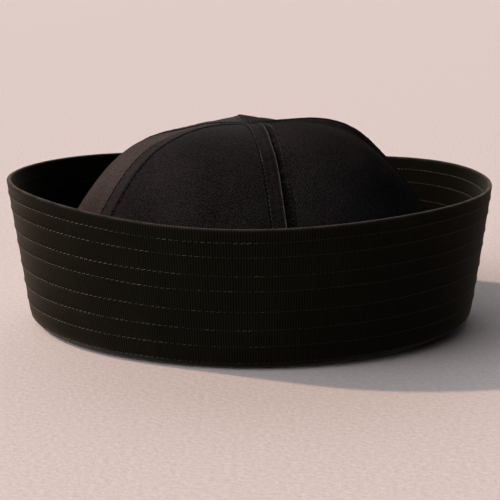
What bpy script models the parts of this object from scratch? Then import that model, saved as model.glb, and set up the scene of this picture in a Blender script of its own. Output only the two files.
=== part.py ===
"""A cotton sailor cap: six crown gores, their raised seams, and a turned-up brim of doubled cloth.

Metres, +Z up. The cap rests on the fold of its brim at z = 0, its front towards -Y and the
wearer's left towards +X. The origin lies on the floor below the middle of the rim. Azimuths are
in degrees from the front towards +X. Tables hold lengths as shares of the sizes named with them.
"""

import bpy
import numpy as np

# Head opening, an oval measured to the brim's inner face, and how far it is turned to the right
HEAD_HALF_WIDTH = 0.087
HEAD_HALF_LENGTH = 0.093
OVAL_TURN = np.radians(-7.8)

# Brim: doubled cloth, folded at the bottom into an outer wall and a short inner leg
BRIM_CLOTH = 0.0022
BRIM_HEIGHT = 0.062
BRIM_FLARE = 0.009
BRIM_SHIFT = (0.0013, 0.0022)
FOLD_OUTER_RADIUS = 0.006
FOLD_INNER_RADIUS = 0.0048
FOLD_FLAT = 0.0012
LEG_HEIGHT = 0.012

# The rim's slow waves: how many go round, where the first crest lies, height as a share of the brim's
RIM_WAVES = (
    {"count": 2, "crest": 9.4, "height": 0.038},
    {"count": 4, "crest": 45.0, "height": 0.011},
)

# Crown: gores of one cloth, whose lower edges lap the outside of the brim's leg
CROWN_CLOTH = 0.0014
CROWN_TOP = 0.0885
CROWN_LAP = 0.006
LAP_CLEARANCE = 0.0007
PANEL_GAP = 0.0003
TIP_CUT = 0.0015

# The six seams: azimuth, fullness of the dome along them, and where the ridge lies across the band.
# Fullness is the power of the dome's superellipse: 2 is round, and more is squarer at the shoulder.
SEAMS = (
    {"name": "front", "azimuth": 8.0, "fullness": 2.20, "ridge": 0.63},
    {"name": "front_right", "azimuth": 95.0, "fullness": 2.22, "ridge": 0.63},
    {"name": "back_right", "azimuth": 140.0, "fullness": 2.10, "ridge": 0.63},
    {"name": "back", "azimuth": 187.0, "fullness": 2.60, "ridge": 0.37},
    {"name": "back_left", "azimuth": 246.0, "fullness": 2.10, "ridge": 0.63},
    {"name": "front_left", "azimuth": 309.0, "fullness": 2.25, "ridge": 0.85},
)

# The gores between them: how far each puffs out, as a share of the crown's rise, and where, as a
# share of the way down from the top. Below nothing, the gore sags.
GORES = (
    {"puff": 0.052, "at": 0.34},
    {"puff": 0.058, "at": 0.37},
    {"puff": -0.018, "at": 0.39},
    {"puff": -0.021, "at": 0.30},
    {"puff": -0.020, "at": 0.24},
    {"puff": 0.033, "at": 0.42},
)
PUFF_SHARPNESS = 5

# The whole crown leans, dips where the seams meet, and is drawn in above its lower edge
LEAN_X = -0.028
LEAN_Y = 0.080
DIP_DEPTH = 0.026
DIP_ANGLE = np.radians(14)
SIDE_DRAW = 0.050
SIDE_DRAW_FROM = 0.4

# Seam bands, felled: a raised strip with a ridge along its folded edge
SEAM_WIDTH = 0.0095
SEAM_EDGE = 0.0006
SEAM_RIDGE = 0.0014
SEAM_STEP = 0.0006
SEAM_GAP = 0.0003
SEAM_SHORT = 0.0008

# The centre seam turns from one heading to the other within this angle of the top. A side seam tapers
# to this share of its width, and its sections crowd towards the tip by this power.
CENTRE_TURN = np.radians(7)
SEAM_TIP = 0.125
TIP_CROWDING = 1.5

# A side seam square to the centre seam has all the room it needs on that side
LEAST_SLANT = 0.0003

# How finely the surfaces are cut up, and the angle past which an edge is drawn sharp
BRIM_STEPS = 96
WALL_STEPS = 2
RIM_STEPS = 4
FOLD_STEPS = 4
GORE_ACROSS = 10
GORE_DOWN = 13
BAND_STEPS = 22
SEARCH_STEPS = 400
SHARP_ANGLE = np.radians(50)

FOLD_WIDTH = FOLD_OUTER_RADIUS + FOLD_FLAT + FOLD_INNER_RADIUS
FOOT_HALF = np.array([HEAD_HALF_WIDTH, HEAD_HALF_LENGTH]) + FOLD_WIDTH
CROWN_INSET = FOLD_WIDTH - BRIM_CLOTH - LAP_CLEARANCE - CROWN_CLOTH
CROWN_HALF = FOOT_HALF - CROWN_INSET
CROWN_RISE = CROWN_TOP - LEG_HEIGHT
LEVEL = np.pi / 2
CROWN_END = LEVEL + np.arctan(CROWN_LAP / CROWN_HALF[0])
SEAM_END = LEVEL + np.arctan((CROWN_LAP - SEAM_SHORT) / CROWN_HALF[0])


def cloth(name, colour, roughness):
    """A matt woven cotton."""
    made = bpy.data.materials.new(name)
    made.use_nodes = True
    shader = made.node_tree.nodes["Principled BSDF"]
    shader.inputs["Base Color"].default_value = (*colour, 1)
    shader.inputs["Roughness"].default_value = roughness
    shader.inputs["Metallic"].default_value = 0
    return made


def loft(name, sections, closed, material):
    """Skins a row of matching sections, each an outline of points in order.

    A closed row joins its last section to its first. An open one is capped by strips that pair each
    section's points from its two ends, so a section runs out along one face and back along the other.
    """
    rows, around = sections.shape[:2]
    index = np.arange(rows * around).reshape(rows, around)
    ahead = np.roll(index, -1, axis=0) if closed else index[1:]
    here = index if closed else index[:-1]
    faces = np.stack([here, np.roll(here, -1, axis=1), np.roll(ahead, -1, axis=1), ahead], axis=-1)
    faces = faces.reshape(-1, 4).tolist()
    if not closed:
        half = around // 2
        for cap, order in ((index[0], 1), (index[-1], -1)):
            pairs = [[cap[j], cap[around - 1 - j], cap[around - 2 - j], cap[j + 1]] for j in range(half - 1)]
            faces += [[int(corner) for corner in pair[::order]] for pair in pairs]
    mesh = bpy.data.meshes.new(name)
    mesh.from_pydata(sections.reshape(-1, 3).tolist(), [], faces)
    mesh.shade_smooth()
    mesh.set_sharp_from_angle(angle=SHARP_ANGLE)
    mesh.materials.append(material)
    made = bpy.data.objects.new(name, mesh)
    bpy.context.scene.collection.objects.link(made)
    return made


def turned_oval(half_width, half_length, angle):
    """Plan points of the head's oval, grown or shrunk to these half sizes, at angles from its own +X."""
    along = half_width * np.cos(angle)
    across = half_length * np.sin(angle)
    x = along * np.cos(OVAL_TURN) - across * np.sin(OVAL_TURN)
    y = along * np.sin(OVAL_TURN) + across * np.cos(OVAL_TURN)
    return x, y


def arc(centre, radius, start, stop, steps):
    """Points of an arc, as (outset, height), with both ends."""
    angle = np.radians(np.linspace(start, stop, steps + 1))
    return np.stack([centre[0] + radius * np.cos(angle), centre[1] + radius * np.sin(angle)], axis=1)


def brim_profile():
    """The brim's outline in section, as outset from the foot's oval, height, and share of the flare.

    It goes up the inner face of the wall, over the folded rim, down the outer face, round the fold
    past its flat foot, up the leg's inner face, over the leg and down to the fold's inside.
    """
    inside = FOLD_OUTER_RADIUS - BRIM_CLOTH
    outer_centre = (-FOLD_OUTER_RADIUS, FOLD_OUTER_RADIUS)
    inner_centre = (-FOLD_OUTER_RADIUS - FOLD_FLAT, FOLD_INNER_RADIUS)
    rim_radius = BRIM_CLOTH / 2
    wall = np.linspace(FOLD_OUTER_RADIUS, BRIM_HEIGHT - rim_radius, WALL_STEPS + 1)
    up_inside = np.stack([np.full_like(wall, -BRIM_CLOTH), wall], axis=1)
    over_rim = arc((-rim_radius, wall[-1]), rim_radius, 180, 0, RIM_STEPS)[1:-1]
    down_outside = np.stack([np.zeros_like(wall), wall[::-1]], axis=1)
    outer_fold = arc(outer_centre, FOLD_OUTER_RADIUS, 0, -90, FOLD_STEPS)[1:]
    inner_fold = arc(inner_centre, FOLD_INNER_RADIUS, -90, -180, FOLD_STEPS)
    leg = [[-FOLD_WIDTH, LEG_HEIGHT], [-FOLD_WIDTH + BRIM_CLOTH, LEG_HEIGHT]]
    leg_inside = arc(inner_centre, FOLD_INNER_RADIUS - BRIM_CLOTH, 180, 270, FOLD_STEPS)
    wall_inside = arc(outer_centre, inside, -90, 0, FOLD_STEPS)[:-1]
    path = np.concatenate([up_inside, over_rim, down_outside, outer_fold, inner_fold, leg, leg_inside, wall_inside])
    on_wall = path[:, 0] > -FOLD_OUTER_RADIUS
    share = np.where(on_wall, path[:, 1] / BRIM_HEIGHT, 0)
    return path[:, 0], path[:, 1], share


def make_brim(material):
    """One ring of doubled cloth: the same section all the way round, with the rim's waves in its wall."""
    outset, height, share = brim_profile()
    angle = np.linspace(0, 2 * np.pi, BRIM_STEPS, endpoint=False)[:, None]
    grown = outset + BRIM_FLARE * share
    x, y = turned_oval(FOOT_HALF[0] + grown, FOOT_HALF[1] + grown, angle)
    wave = sum(w["height"] * np.cos(w["count"] * (angle - np.radians(w["crest"]))) for w in RIM_WAVES)
    z = height + BRIM_HEIGHT * wave * share
    still = 1 - share
    sections = np.stack([x + BRIM_SHIFT[0] * still, y + BRIM_SHIFT[1] * still, z], axis=-1)
    return loft("brim", sections, True, material)


def between_seams(azimuth):
    """Which gore an azimuth lies in, and how far across it, from 0 to 1."""
    starts = np.radians([seam["azimuth"] for seam in SEAMS])
    turned = np.mod(azimuth - starts[0], 2 * np.pi)
    edges = np.append(starts - starts[0], 2 * np.pi)
    gore = np.clip(np.searchsorted(edges, turned, side="right") - 1, 0, len(SEAMS) - 1)
    return gore, (turned - edges[gore]) / (edges[gore + 1] - edges[gore])


def crown_reach(direction):
    """How far the crown's outer face lies from the middle of its lower edge, along unit directions.

    It is a superellipse in each upright plane, between the oval below and the rise above. Its power
    runs from one seam's fullness to the next. The gores' puffs are added, and the dip and draw taken.
    """
    flat = np.hypot(direction[..., 0], direction[..., 1])
    azimuth = np.arctan2(direction[..., 0], -direction[..., 1])
    polar = np.arctan2(flat, direction[..., 2])
    down = polar / LEVEL
    in_oval = azimuth - np.pi / 2 - OVAL_TURN
    plan = 1 / np.hypot(np.cos(in_oval) / CROWN_HALF[0], np.sin(in_oval) / CROWN_HALF[1])
    gore, across = between_seams(azimuth)
    fullness = np.array([seam["fullness"] for seam in SEAMS])
    power = fullness[gore] * (1 - across) + np.roll(fullness, -1)[gore] * across
    upright = np.maximum(direction[..., 2], 0) / CROWN_RISE
    reach = ((flat / plan) ** power + upright**power) ** (-1 / power)
    at = np.array([row["at"] for row in GORES])[gore]
    puff = np.array([row["puff"] for row in GORES])[gore]
    swell = (down / at * np.exp(1 - down / at)) ** PUFF_SHARPNESS * np.clip(1 - down**4, 0, 1)
    dip = DIP_DEPTH * np.exp(-((polar / DIP_ANGLE) ** 2))
    drawn = np.clip((down - SIDE_DRAW_FROM) / (1 - SIDE_DRAW_FROM), 0, 1)
    draw = SIDE_DRAW * np.sin(np.pi * drawn) ** 2
    return reach + CROWN_RISE * (puff * 4 * across * (1 - across) * swell - dip - draw)


def crown_points(direction, lift):
    """Points at this distance outside the crown's outer face, with the crown's lean."""
    reach = crown_reach(direction) + lift
    point = direction * reach[..., None]
    leaning = np.clip(point[..., 2:] / CROWN_RISE, 0, None) ** 2
    lean = np.array([LEAN_X, LEAN_Y, 0]) * HEAD_HALF_WIDTH
    return point + leaning * lean + np.array([*BRIM_SHIFT, LEG_HEIGHT])


def towards(azimuth, polar):
    """Unit directions at these azimuths, and angles down from straight up."""
    azimuth, polar = np.broadcast_arrays(azimuth, polar)
    flat = np.sin(polar)
    return np.stack([flat * np.sin(azimuth), -flat * np.cos(azimuth), np.cos(polar)], axis=-1)


def make_gore(number, material):
    """One gore, as wide as the seams leave it, down from its cut tip to the crown's lower edge."""
    start = np.radians(SEAMS[number]["azimuth"])
    stop = np.radians(SEAMS[(number + 1) % len(SEAMS)]["azimuth"])
    stop += 2 * np.pi * (stop < start)
    polar = np.linspace(np.arcsin(TIP_CUT / CROWN_RISE), LEVEL, GORE_DOWN)
    polar = np.append(polar, CROWN_END)[:, None]
    span = crown_reach(towards((start + stop) / 2, polar)) * np.sin(polar)
    trim = np.arcsin(PANEL_GAP / span)
    across = np.linspace(0, 1, GORE_ACROSS + 1)
    azimuth = start + trim + (stop - start - 2 * trim) * across
    direction = towards(azimuth, polar)
    outer = crown_points(direction, 0)
    inner = crown_points(direction, -CROWN_CLOTH)
    sections = np.concatenate([inner, outer[:, ::-1]], axis=1)
    return loft(f"crown_gore_{number + 1}", sections, False, material)


def band_section(ridge, left, right):
    """A band's section as (offset, lift) rows: along its underside, then back over its top.

    The ridge lies at its share of the width from the left edge, and left and right limit the section.
    """
    ridge_at = SEAM_WIDTH * ridge - SEAM_WIDTH / 2
    offsets = [-left, ridge_at - SEAM_STEP, ridge_at, ridge_at + SEAM_STEP, right]
    offset = np.clip(offsets, -left, right)
    top = SEAM_GAP + np.array([SEAM_EDGE, (SEAM_EDGE + SEAM_RIDGE) / 2, SEAM_RIDGE, SEAM_EDGE, SEAM_EDGE])
    under = np.full_like(top, SEAM_GAP)
    return np.concatenate([offset, offset[::-1]]), np.concatenate([under, top[::-1]])


def make_band(name, middle, sideways, sections, material):
    """A band whose sections are set across a line of directions, and lifted off the crown's outer face."""
    offset = np.array([section[0] for section in sections])
    lift = np.array([section[1] for section in sections])
    line = middle * crown_reach(middle)[..., None]
    beside = line[:, None] + offset[..., None] * sideways[:, None]
    direction = beside / np.linalg.norm(beside, axis=-1, keepdims=True)
    return loft(name, crown_points(direction, lift), False, material)


def across_azimuth(azimuth):
    """The level direction in which an azimuth grows: to the right, seen from outside the crown."""
    return np.stack([np.cos(azimuth), np.sin(azimuth), np.zeros_like(azimuth)], axis=-1)


def make_centre_seam(material):
    """The seam that joins the crown's two halves, from its back edge over the top to its front edge."""
    front, back = (np.radians(row["azimuth"]) for row in SEAMS if row["name"] in ("front", "back"))
    signed = np.linspace(-SEAM_END, SEAM_END, 2 * BAND_STEPS + 1)
    near = (1 + np.tanh(signed / CENTRE_TURN)) / 2
    heading = front * near + (back - np.pi) * (1 - near)
    middle = towards(heading, signed)
    half = SEAM_WIDTH / 2
    section = band_section(SEAMS[0]["ridge"], half, half)
    return make_band("crown_seam_centre", middle, across_azimuth(heading), [section] * len(signed), material)


def half_width(number, step, polar):
    """How wide a side seam is on its left (step -1) or right (step 1), at angles down from the top.

    It is half a band, or less where it would meet the centre seam's edge or the middle of the way to
    the next side seam.
    """
    azimuth = np.radians(SEAMS[number]["azimuth"])
    neighbour = SEAMS[(number + step) % len(SEAMS)]
    apart = np.mod(step * (np.radians(neighbour["azimuth"]) - azimuth), 2 * np.pi)
    distance = crown_reach(towards(azimuth, polar)) * np.sin(polar)
    half = SEAM_WIDTH / 2
    if neighbour["name"] in ("front", "back"):
        room = (distance * np.sin(apart) - half - SEAM_GAP) / max(np.cos(apart), LEAST_SLANT)
    else:
        room = distance * np.tan(apart / 2) - SEAM_GAP / 2
    return np.minimum(room, half)


def make_side_seam(number, material):
    """A shorter seam, narrowed to a point where it meets the centre seam and the seam beside it."""
    seam = SEAMS[number]
    azimuth = np.radians(seam["azimuth"])
    search = np.linspace(0, SEAM_END, SEARCH_STEPS)[1:]
    width = half_width(number, -1, search) + half_width(number, 1, search)
    tip = search[np.argmax(width > SEAM_TIP * SEAM_WIDTH)]
    polar = tip + (SEAM_END - tip) * np.linspace(0, 1, BAND_STEPS + 1) ** TIP_CROWDING
    left, right = (half_width(number, step, polar) for step in (-1, 1))
    sections = [band_section(seam["ridge"], *limits) for limits in zip(left, right)]
    sideways = across_azimuth(np.full_like(polar, azimuth))
    return make_band(f"crown_seam_{seam['name']}", towards(azimuth, polar), sideways, sections, material)


for stale in list(bpy.data.objects):
    bpy.data.objects.remove(stale)

crown_cotton = cloth("crown_cotton_twill", (0.022, 0.020, 0.019), 0.85)
seam_cotton = cloth("seam_cotton_twill", (0.024, 0.022, 0.021), 0.85)
brim_cotton = cloth("brim_ribbed_cotton", (0.012, 0.010, 0.009), 0.9)

for gore_number in range(len(GORES)):
    make_gore(gore_number, crown_cotton)
make_centre_seam(seam_cotton)
for seam_number, row in enumerate(SEAMS):
    if row["name"] not in ("front", "back"):
        make_side_seam(seam_number, seam_cotton)
make_brim(brim_cotton)
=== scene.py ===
"""A black cotton sailor cap: its cloth, seams and stitching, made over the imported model.

Metres, +Z up, the cap's front towards -Y. The sections follow the cap as it is sewn: the crown's
gores, the bands of its seams, their stitches, the brim, and the brim's rows of stitching.
"""

import bpy
import numpy as np
from mathutils import Matrix


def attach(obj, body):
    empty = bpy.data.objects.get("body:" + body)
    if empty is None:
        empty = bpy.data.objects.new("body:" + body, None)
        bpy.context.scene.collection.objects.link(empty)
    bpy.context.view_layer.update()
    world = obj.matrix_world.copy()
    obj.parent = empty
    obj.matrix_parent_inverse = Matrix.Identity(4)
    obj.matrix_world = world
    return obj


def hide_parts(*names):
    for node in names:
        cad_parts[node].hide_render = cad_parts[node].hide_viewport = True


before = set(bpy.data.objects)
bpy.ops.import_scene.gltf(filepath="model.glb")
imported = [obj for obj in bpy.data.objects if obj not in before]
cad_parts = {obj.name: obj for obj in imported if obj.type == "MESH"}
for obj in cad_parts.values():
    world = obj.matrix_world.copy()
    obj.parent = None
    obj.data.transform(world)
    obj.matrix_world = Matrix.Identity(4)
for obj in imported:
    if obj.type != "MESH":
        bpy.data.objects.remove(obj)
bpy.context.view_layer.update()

MM = 0.001

# Crown gores
# Six triangles of washed black cotton twill, felled to each other along their long sides. They puff a
# little between the seams, and their lower edges are sewn round the outside of the brim's short leg.

HEAD_HALF_WIDTH = 0.087
HEAD_HALF_LENGTH = 0.093
OVAL_TURN = np.radians(-7.8)
BRIM_CLOTH = 0.0022
BRIM_SHIFT = (0.0013, 0.0022)
FOLD_OUTER_RADIUS = 0.006
FOLD_INNER_RADIUS = 0.0048
FOLD_FLAT = 0.0012
LEG_HEIGHT = 0.012
CROWN_CLOTH = 0.0014
CROWN_TOP = 0.0885
CROWN_LAP = 0.006
LAP_CLEARANCE = 0.0007

SEAMS = (
    {"name": "front", "azimuth": 8.0, "bend": 0.0, "fullness": 2.20},
    {"name": "front_right", "azimuth": 95.0, "bend": 24.0, "fullness": 2.22},
    {"name": "back_right", "azimuth": 140.0, "bend": 14.0, "fullness": 2.10},
    {"name": "back", "azimuth": 187.0, "bend": 0.0, "fullness": 2.60},
    {"name": "back_left", "azimuth": 246.0, "bend": 0.0, "fullness": 2.10},
    {"name": "front_left", "azimuth": 309.0, "bend": 0.0, "fullness": 2.25},
)
GORES = (
    {"puff": 0.052, "at": 0.34},
    {"puff": 0.058, "at": 0.37},
    {"puff": -0.018, "at": 0.39},
    {"puff": -0.021, "at": 0.30},
    {"puff": -0.020, "at": 0.24},
    {"puff": 0.033, "at": 0.42},
)
PUFF_SHARPNESS = 5
LEAN_X = -0.028
LEAN_Y = 0.080
DIP_DEPTH = 0.026
DIP_ANGLE = np.radians(14)
SIDE_DRAW = 0.050
SIDE_DRAW_FROM = 0.4
# Slack in the cloth: where it sinks, and, where "deep" is below 0, where it swells.
HOLLOWS = (
    {"azimuth": 247.0, "polar": 24.0, "deep": 1.55 * MM, "reach": 9.0},
    {"azimuth": 123.0, "polar": 19.0, "deep": 1.05 * MM, "reach": 9.0},
    {"azimuth": 114.0, "polar": 35.0, "deep": -0.55 * MM, "reach": 7.0},
    {"azimuth": 60.0, "polar": 1.2, "deep": 0.8 * MM, "reach": 1.3},
    {"azimuth": 96.0, "polar": 16.0, "deep": -0.6 * MM, "reach": 6.0},
    {"azimuth": 96.0, "polar": 25.0, "deep": -1.5 * MM, "reach": 6.0},
    {"azimuth": 96.0, "polar": 34.0, "deep": -1.5 * MM, "reach": 6.0},
    {"azimuth": 86.0, "polar": 44.0, "deep": 0.5 * MM, "reach": 8.0},
)
BEND_FROM = np.radians(16)
BEND_TO = np.radians(46)

FOLD_WIDTH = FOLD_OUTER_RADIUS + FOLD_FLAT + FOLD_INNER_RADIUS
FOOT_HALF = np.array([HEAD_HALF_WIDTH, HEAD_HALF_LENGTH]) + FOLD_WIDTH
CROWN_HALF = FOOT_HALF - (FOLD_WIDTH - BRIM_CLOTH - LAP_CLEARANCE - CROWN_CLOTH)
CROWN_RISE = CROWN_TOP - LEG_HEIGHT
LEVEL = np.pi / 2
CROWN_END = LEVEL + np.arctan(CROWN_LAP / CROWN_HALF[0])


def towards(azimuth, polar):
    """Unit directions at these azimuths from the front, and angles down from straight up."""
    azimuth, polar = np.broadcast_arrays(azimuth, polar)
    flat = np.sin(polar)
    return np.stack([flat * np.sin(azimuth), -flat * np.cos(azimuth), np.cos(polar)], axis=-1)


def between_seams(azimuth):
    """Which gore an azimuth lies in, and how far across it, from 0 to 1."""
    starts = np.radians([seam["azimuth"] for seam in SEAMS])
    turned = np.mod(azimuth - starts[0], 2 * np.pi)
    edges = np.append(starts - starts[0], 2 * np.pi)
    gore = np.clip(np.searchsorted(edges, turned, side="right") - 1, 0, len(SEAMS) - 1)
    return gore, (turned - edges[gore]) / (edges[gore + 1] - edges[gore])


def crown_reach(direction):
    """How far the crown's outer face lies from the middle of its lower edge, along unit directions.

    It is a superellipse in each upright plane, between the oval below and the rise above. Its power
    runs from one seam's fullness to the next. The gores' puffs are added, and the dip and draw taken.
    """
    flat = np.hypot(direction[..., 0], direction[..., 1])
    azimuth = np.arctan2(direction[..., 0], -direction[..., 1])
    polar = np.arctan2(flat, direction[..., 2])
    down = polar / LEVEL
    in_oval = azimuth - np.pi / 2 - OVAL_TURN
    plan = 1 / np.hypot(np.cos(in_oval) / CROWN_HALF[0], np.sin(in_oval) / CROWN_HALF[1])
    gore, across = between_seams(azimuth)
    fullness = np.array([seam["fullness"] for seam in SEAMS])
    power = fullness[gore] * (1 - across) + np.roll(fullness, -1)[gore] * across
    upright = np.maximum(direction[..., 2], 0) / CROWN_RISE
    reach = ((flat / plan) ** power + upright**power) ** (-1 / power)
    at = np.array([row["at"] for row in GORES])[gore]
    puff = np.array([row["puff"] for row in GORES])[gore]
    swell = (down / at * np.exp(1 - down / at)) ** PUFF_SHARPNESS * np.clip(1 - down**4, 0, 1)
    dip = DIP_DEPTH * np.exp(-((polar / DIP_ANGLE) ** 2))
    drawn = np.clip((down - SIDE_DRAW_FROM) / (1 - SIDE_DRAW_FROM), 0, 1)
    draw = SIDE_DRAW * np.sin(np.pi * drawn) ** 2
    return reach + CROWN_RISE * (puff * 4 * across * (1 - across) * swell - dip - draw)


def crown_points(direction, lift):
    """Points at this distance outside the crown's outer face, with its slack hollows and its lean."""
    for hollow in HOLLOWS:
        middle = towards(*np.radians([hollow["azimuth"], hollow["polar"]]))
        away = np.degrees(np.arccos(np.clip(direction @ middle, -1, 1)))
        lift = lift - hollow["deep"] * np.exp(-((away / hollow["reach"]) ** 2))
    point = direction * (crown_reach(direction) + lift)[..., None]
    leaning = np.clip(point[..., 2:] / CROWN_RISE, 0, None) ** 2
    lean = np.array([LEAN_X, LEAN_Y, 0]) * HEAD_HALF_WIDTH
    return point + leaning * lean + np.array([*BRIM_SHIFT, LEG_HEIGHT])


def wander(along, length, seed):
    """A slow, uneven wave about 1 high: the mean of six sines whose lengths spread round this one."""
    draw = np.random.default_rng(seed)
    waves = length * draw.uniform(0.6, 1.8, 6)
    starts = draw.uniform(0, 2 * np.pi, 6)
    return 1.7 * np.sin(2 * np.pi * np.asarray(along)[..., None] / waves + starts).mean(-1)


def run(points):
    """The length along a line of points, from its start."""
    steps = np.linalg.norm(np.diff(points, axis=0), axis=-1)
    return np.concatenate([[0], np.cumsum(steps)])


def loft(name, sections, cloth_map, wear, ring=False):
    """Skins a row of closed outlines, and lays a UV map in metres and each point's wear on it: wear
    and painted highlight above 0, painted shade below 0.

    A ring joins the last outline to the first. An open row is capped by strips that pair each
    outline's points from its two ends. The map has one more column than the outlines have points,
    and one more row in a ring, so that it runs on where the surface meets itself.
    """
    rows, around = sections.shape[:2]
    row, column = np.meshgrid(np.arange(rows if ring else rows - 1), np.arange(around), indexing="ij")
    corners = [(row, column), (row, column + 1), (row + 1, column + 1), (row + 1, column)]
    faces = np.stack([(r % rows) * around + c % around for r, c in corners], axis=-1).reshape(-1, 4)
    laid = np.stack([cloth_map[r, c] for r, c in corners], axis=-2).reshape(-1, 2)
    if not ring:
        step = np.arange(around // 2 - 1)
        strip = np.stack([step, around - 1 - step, around - 2 - step, step + 1], axis=-1)
        for r, order in ((0, 1), (rows - 1, -1)):
            faces = np.concatenate([faces, r * around + strip[:, ::order]])
            laid = np.concatenate([laid, cloth_map[r, strip[:, ::order]].reshape(-1, 2)])
    mesh = bpy.data.meshes.new(name)
    mesh.from_pydata(sections.reshape(-1, 3), [], faces.tolist())
    mesh.uv_layers.new(name="cloth").data.foreach_set("uv", laid.astype(np.float32).ravel())
    worn = mesh.attributes.new("wear", "FLOAT", "POINT")
    worn.data.foreach_set("value", np.broadcast_to(wear, sections.shape[:2]).astype(np.float32).ravel())
    mesh.shade_smooth()
    made = bpy.data.objects.new(name, mesh)
    bpy.context.scene.collection.objects.link(made)
    return made


def linear(hex_colour):
    """An sRGB hex colour as linear red, green, blue and alpha."""
    value = np.array([int(hex_colour[i : i + 2], 16) for i in (1, 3, 5)]) / 255
    value = np.where(value <= 0.04045, value / 12.92, ((value + 0.055) / 1.055) ** 2.4)
    return (*value.tolist(), 1.0)


def add(tree, kind, inputs=None, **settings):
    """Adds a node with these settings. An input is given a value, or another node's output."""
    made = tree.nodes.new(kind)
    for key, value in settings.items():
        setattr(made, key, value)
    for key, value in (inputs or {}).items():
        if isinstance(value, bpy.types.NodeSocket):
            tree.links.new(value, made.inputs[key])
        else:
            made.inputs[key].default_value = value
    return made


def colour_ramp(tree, factor, stops):
    """A ramp through (place, hex colour) stops, driven by an output."""
    ramp = add(tree, "ShaderNodeValToRGB", {"Fac": factor})
    for index, (place, colour) in enumerate(stops):
        stop = ramp.color_ramp.elements[index] if index < 2 else ramp.color_ramp.elements.new(place)
        stop.position = place
        stop.color = linear(colour)
    return ramp.outputs["Color"]


def bands_per_metre(pitch):
    """The Wave texture's scale for bands this far apart: it draws 20 / (2 pi) bands for each unit."""
    return 2 * np.pi / (20 * pitch)


def start_cloth(name):
    """A new material's tree with its shader, and nothing else linked to it."""
    made = bpy.data.materials.new(name)
    made.use_nodes = True
    return made, made.node_tree, made.node_tree.nodes["Principled BSDF"]


TWILL_PITCH = 1.0 * MM
YARN_WIDTH = 0.35 * MM
FLOAT_LENGTH = 1.6 * MM
TWILL_RELIEF = 0.15 * MM
FUZZ_SIZE = 0.52 * MM
FUZZ_RELIEF = 0.20 * MM
FUZZ_TONE = 3.2
TONE_MIDDLE = 0.84
TONE_SPREAD = 0.80
WEAVE_TONE = 0.45
WASH_PATCHES = 38.0
# Grey mixed in where the wear attribute is above 0: wear with a painted highlight along folded ridges and
# edges, and painted light over the bands at the lit left.
FADED_AND_PAINTED_LIGHT_TWILL = "#6a6461"
# Painted shade: the black mixed in where the wear attribute is below 0.
PAINTED_SHADE_BLACK = "#010101"


def wear_and_painted_light_colour(tree, cloth_colour, faded, deep):
    """Fades a cloth's colour where its wear attribute is above 0, for wear and a painted highlight, and
    darkens it with painted shade where it is below.
    """
    wear = add(tree, "ShaderNodeAttribute", attribute_name="wear").outputs["Fac"]
    painted_shade = add(tree, "ShaderNodeMath", {0: wear, 1: -1.0}, operation="MULTIPLY").outputs[0]
    for factor, aim_colour in ((wear, faded), (painted_shade, deep)):
        mix = add(tree, "ShaderNodeMix", {"Factor": factor}, data_type="RGBA")
        tree.links.new(cloth_colour, mix.inputs[6])
        mix.inputs[7].default_value = linear(aim_colour)
        cloth_colour = mix.outputs[2]
    return cloth_colour


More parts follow.
